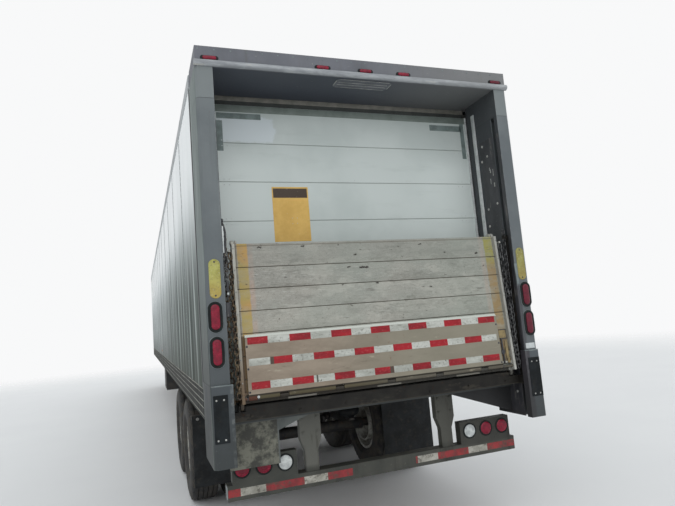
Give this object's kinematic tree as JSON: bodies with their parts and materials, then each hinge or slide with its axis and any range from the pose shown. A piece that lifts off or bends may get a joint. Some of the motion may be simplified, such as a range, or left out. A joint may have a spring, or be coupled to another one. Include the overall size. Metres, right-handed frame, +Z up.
{
  "type": "semi trailer",
  "caption": "Dry box semi trailer with tandem dual wheels, landing legs, roll-up rear door and a folding rail lift gate at the back.",
  "frame": {"origin": "on the ground, midway between the ends and the sides", "axes": "+Y towards the tractor, +Z up, +X to the right seen from behind"},
  "size_m": [2.5908, 16.262, 3.68],
  "materials": {
    "panel_white": "gloss white sheet with road film",
    "rail_aluminium": "mill finish extrusion",
    "frame_grey": "weathered blue-grey paint on steel",
    "chassis_black": "black paint with road dirt",
    "floor_wood": "laminated hardwood",
    "door_white": "matt white door panels",
    "gate_steel": "dark worn paint on steel",
    "plank_grey": "worn non-slip aluminium plank with yellow edges",
    "ramp_tape": "aluminium ramp with red and white tape",
    "gate_frame": "light worn paint",
    "chain_rust": "rusty chain",
    "tyre_rubber": "dusty tyre rubber",
    "wheel_white": "dirty white wheel paint",
    "black_rubber": "moulded rubber",
    "lamp_red": "red lens",
    "guard_grey": "light grey paint",
    "bare_steel": "greased steel"
  },
  "bodies": {
    "trailer": {"air_springs": "black_rubber", "air_tank": "chassis_black", "axles": "chassis_black", "bogie_frame": "chassis_black", "bottom_rails": "rail_aluminium", "connection_box": "rail_aluminium", "coupler_plate": "chassis_black", "crossmembers": "chassis_black", "dock_bumpers": "black_rubber", "door_tracks": "bare_steel", "floor_deck": "floor_wood", "front_wall": "panel_white", "kingpin": "bare_steel", "lamp_grommets": "black_rubber", "lamp_lenses": "lamp_red", "landing_braces": "chassis_black", "landing_crank": "chassis_black", "landing_legs": "chassis_black", "light_boxes": "guard_grey", "mud_flap_hangers": "chassis_black", "mud_flaps": "black_rubber", "pump_box": "chassis_black", "rear_header": "frame_grey", "rear_post_left": "frame_grey", "rear_post_right": "frame_grey", "rear_sill": "frame_grey", "roll_up_door": "door_white", "roof_panel": "panel_white", "side_wall_left": "panel_white", "side_wall_right": "panel_white", "slide_rails": "chassis_black", "suspension_arms": "chassis_black", "top_rails": "rail_aluminium", "underride_guard": "guard_grey"},
    "lift_carriage": {"lift_runners": "gate_steel", "lift_crossbar": "gate_steel", "hanging_chains": "chain_rust"},
    "main_platform": {"main_platform_frame": "gate_frame", "main_platform_planks": "plank_grey", "returning_chains": "chain_rust"},
    "flip_platform": {"flip_platform_frame": "gate_frame", "flip_platform_planks": "plank_grey"},
    "ramp": {"retention_ramp": "ramp_tape"},
    "rear_left_wheel_pair": {"rear_left_tyres": "tyre_rubber", "rear_left_wheels": "wheel_white"},
    "rear_right_wheel_pair": {"rear_right_tyres": "tyre_rubber", "rear_right_wheels": "wheel_white"},
    "front_left_wheel_pair": {"front_left_tyres": "tyre_rubber", "front_left_wheels": "wheel_white"},
    "front_right_wheel_pair": {"front_right_tyres": "tyre_rubber", "front_right_wheels": "wheel_white"}
  },
  "joints": [
    {"name": "lift_slide", "type": "slide", "parent": "trailer", "child": "lift_carriage", "axis": [0, 0, 1], "range_m": [-1.08, 0]},
    {"name": "main_fold", "type": "hinge", "parent": "lift_carriage", "child": "main_platform", "pos_m": [0, -7.997, 1.185], "axis": [-1, 0, 0], "range_deg": [-93.8, 0]},
    {"name": "flip_fold", "type": "hinge", "parent": "main_platform", "child": "flip_platform", "pos_m": [0, -7.95191, 2.30147], "axis": [1, 0, 0], "range_deg": [-180, 0]},
    {"name": "ramp_fold", "type": "hinge", "parent": "flip_platform", "child": "ramp", "pos_m": [0, -8.05698, 1.2401], "axis": [-1, 0, 0], "range_deg": [-192, 0]},
    {"name": "rear_left_spin", "type": "hinge", "parent": "trailer", "child": "rear_left_wheel_pair", "pos_m": [0, -5.617, 0.51], "axis": [1, 0, 0], "continuous": true},
    {"name": "rear_right_spin", "type": "hinge", "parent": "trailer", "child": "rear_right_wheel_pair", "pos_m": [0, -5.617, 0.51], "axis": [1, 0, 0], "continuous": true},
    {"name": "front_left_spin", "type": "hinge", "parent": "trailer", "child": "front_left_wheel_pair", "pos_m": [0, -4.372, 0.51], "axis": [1, 0, 0], "continuous": true},
    {"name": "front_right_spin", "type": "hinge", "parent": "trailer", "child": "front_right_wheel_pair", "pos_m": [0, -4.372, 0.51], "axis": [1, 0, 0], "continuous": true}
  ]
}
